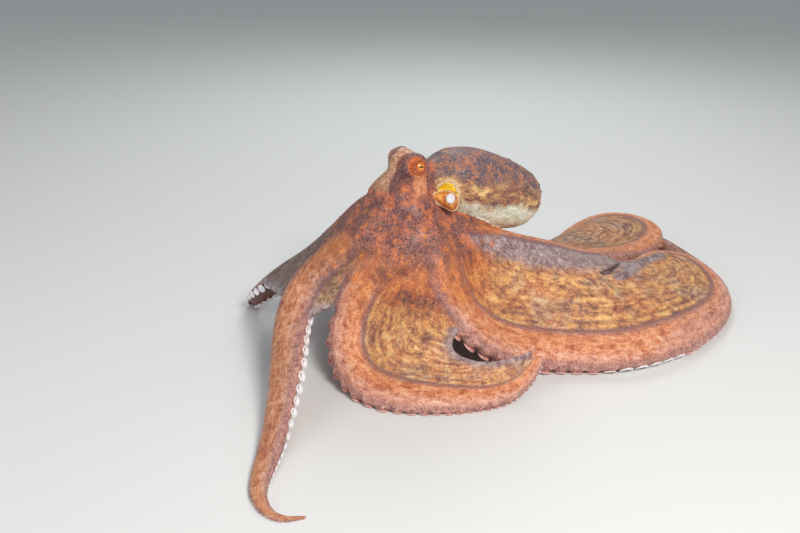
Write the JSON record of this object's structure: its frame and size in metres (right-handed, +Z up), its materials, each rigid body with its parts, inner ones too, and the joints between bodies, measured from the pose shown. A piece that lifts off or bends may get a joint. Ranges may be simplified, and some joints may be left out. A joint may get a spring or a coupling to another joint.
{
  "type": "octopus",
  "caption": "Still, life-size octopus on a flat bottom: head held up, sac-like mantle behind it, web spread like a tent between long arms that curl at the tips.",
  "frame": {"origin": "on the floor under the middle of the whole animal's box", "axes": "+Z up from the floor; the head faces -Y and the mantle points to +Y; +X is the animal's left side"},
  "size_m": [0.53, 0.7642, 0.2404],
  "materials": {
    "skin": "wet, smooth with fine low warts, orange-brown over purple-brown",
    "web": "wet, thin and finely wrinkled, yellow-brown streaks with purple and grey-blue edges",
    "mantle_skin": "wet, purple-brown net over gold, pale underneath",
    "funnel_skin": "wet and smooth, orange with a cream rim",
    "eye": "clear glossy dome over an orange iris with a dark bar-shaped pupil"
  },
  "bodies": {
    "root": {"arm_L1_base": "skin", "arm_L1_middle": "skin", "arm_L1_tip": "skin", "arm_L2_base": "skin", "arm_L2_middle": "skin", "arm_L2_tip": "skin", "arm_L3_base": "skin", "arm_L3_middle": "skin", "arm_L3_tip": "skin", "arm_L4_base": "skin", "arm_L4_middle": "skin", "arm_L4_tip": "skin", "arm_R4_base": "skin", "arm_R4_middle": "skin", "arm_R4_tip": "skin", "arm_R3_base": "skin", "arm_R3_middle": "skin", "arm_R3_tip": "skin", "arm_R2_base": "skin", "arm_R2_middle": "skin", "arm_R2_tip": "skin", "arm_R1_base": "skin", "arm_R1_middle": "skin", "arm_R1_tip": "skin", "web_L1_L2": "web", "web_L2_L3": "web", "web_L3_L4": "web", "web_L4_R4": "web", "web_R4_R3": "web", "web_R3_R2": "web", "web_R2_R1": "web", "web_R1_L1": "web", "head": "skin", "eye_L": "eye", "eye_R": "eye", "mantle": "mantle_skin", "funnel": "funnel_skin"}
  },
  "joints": []
}
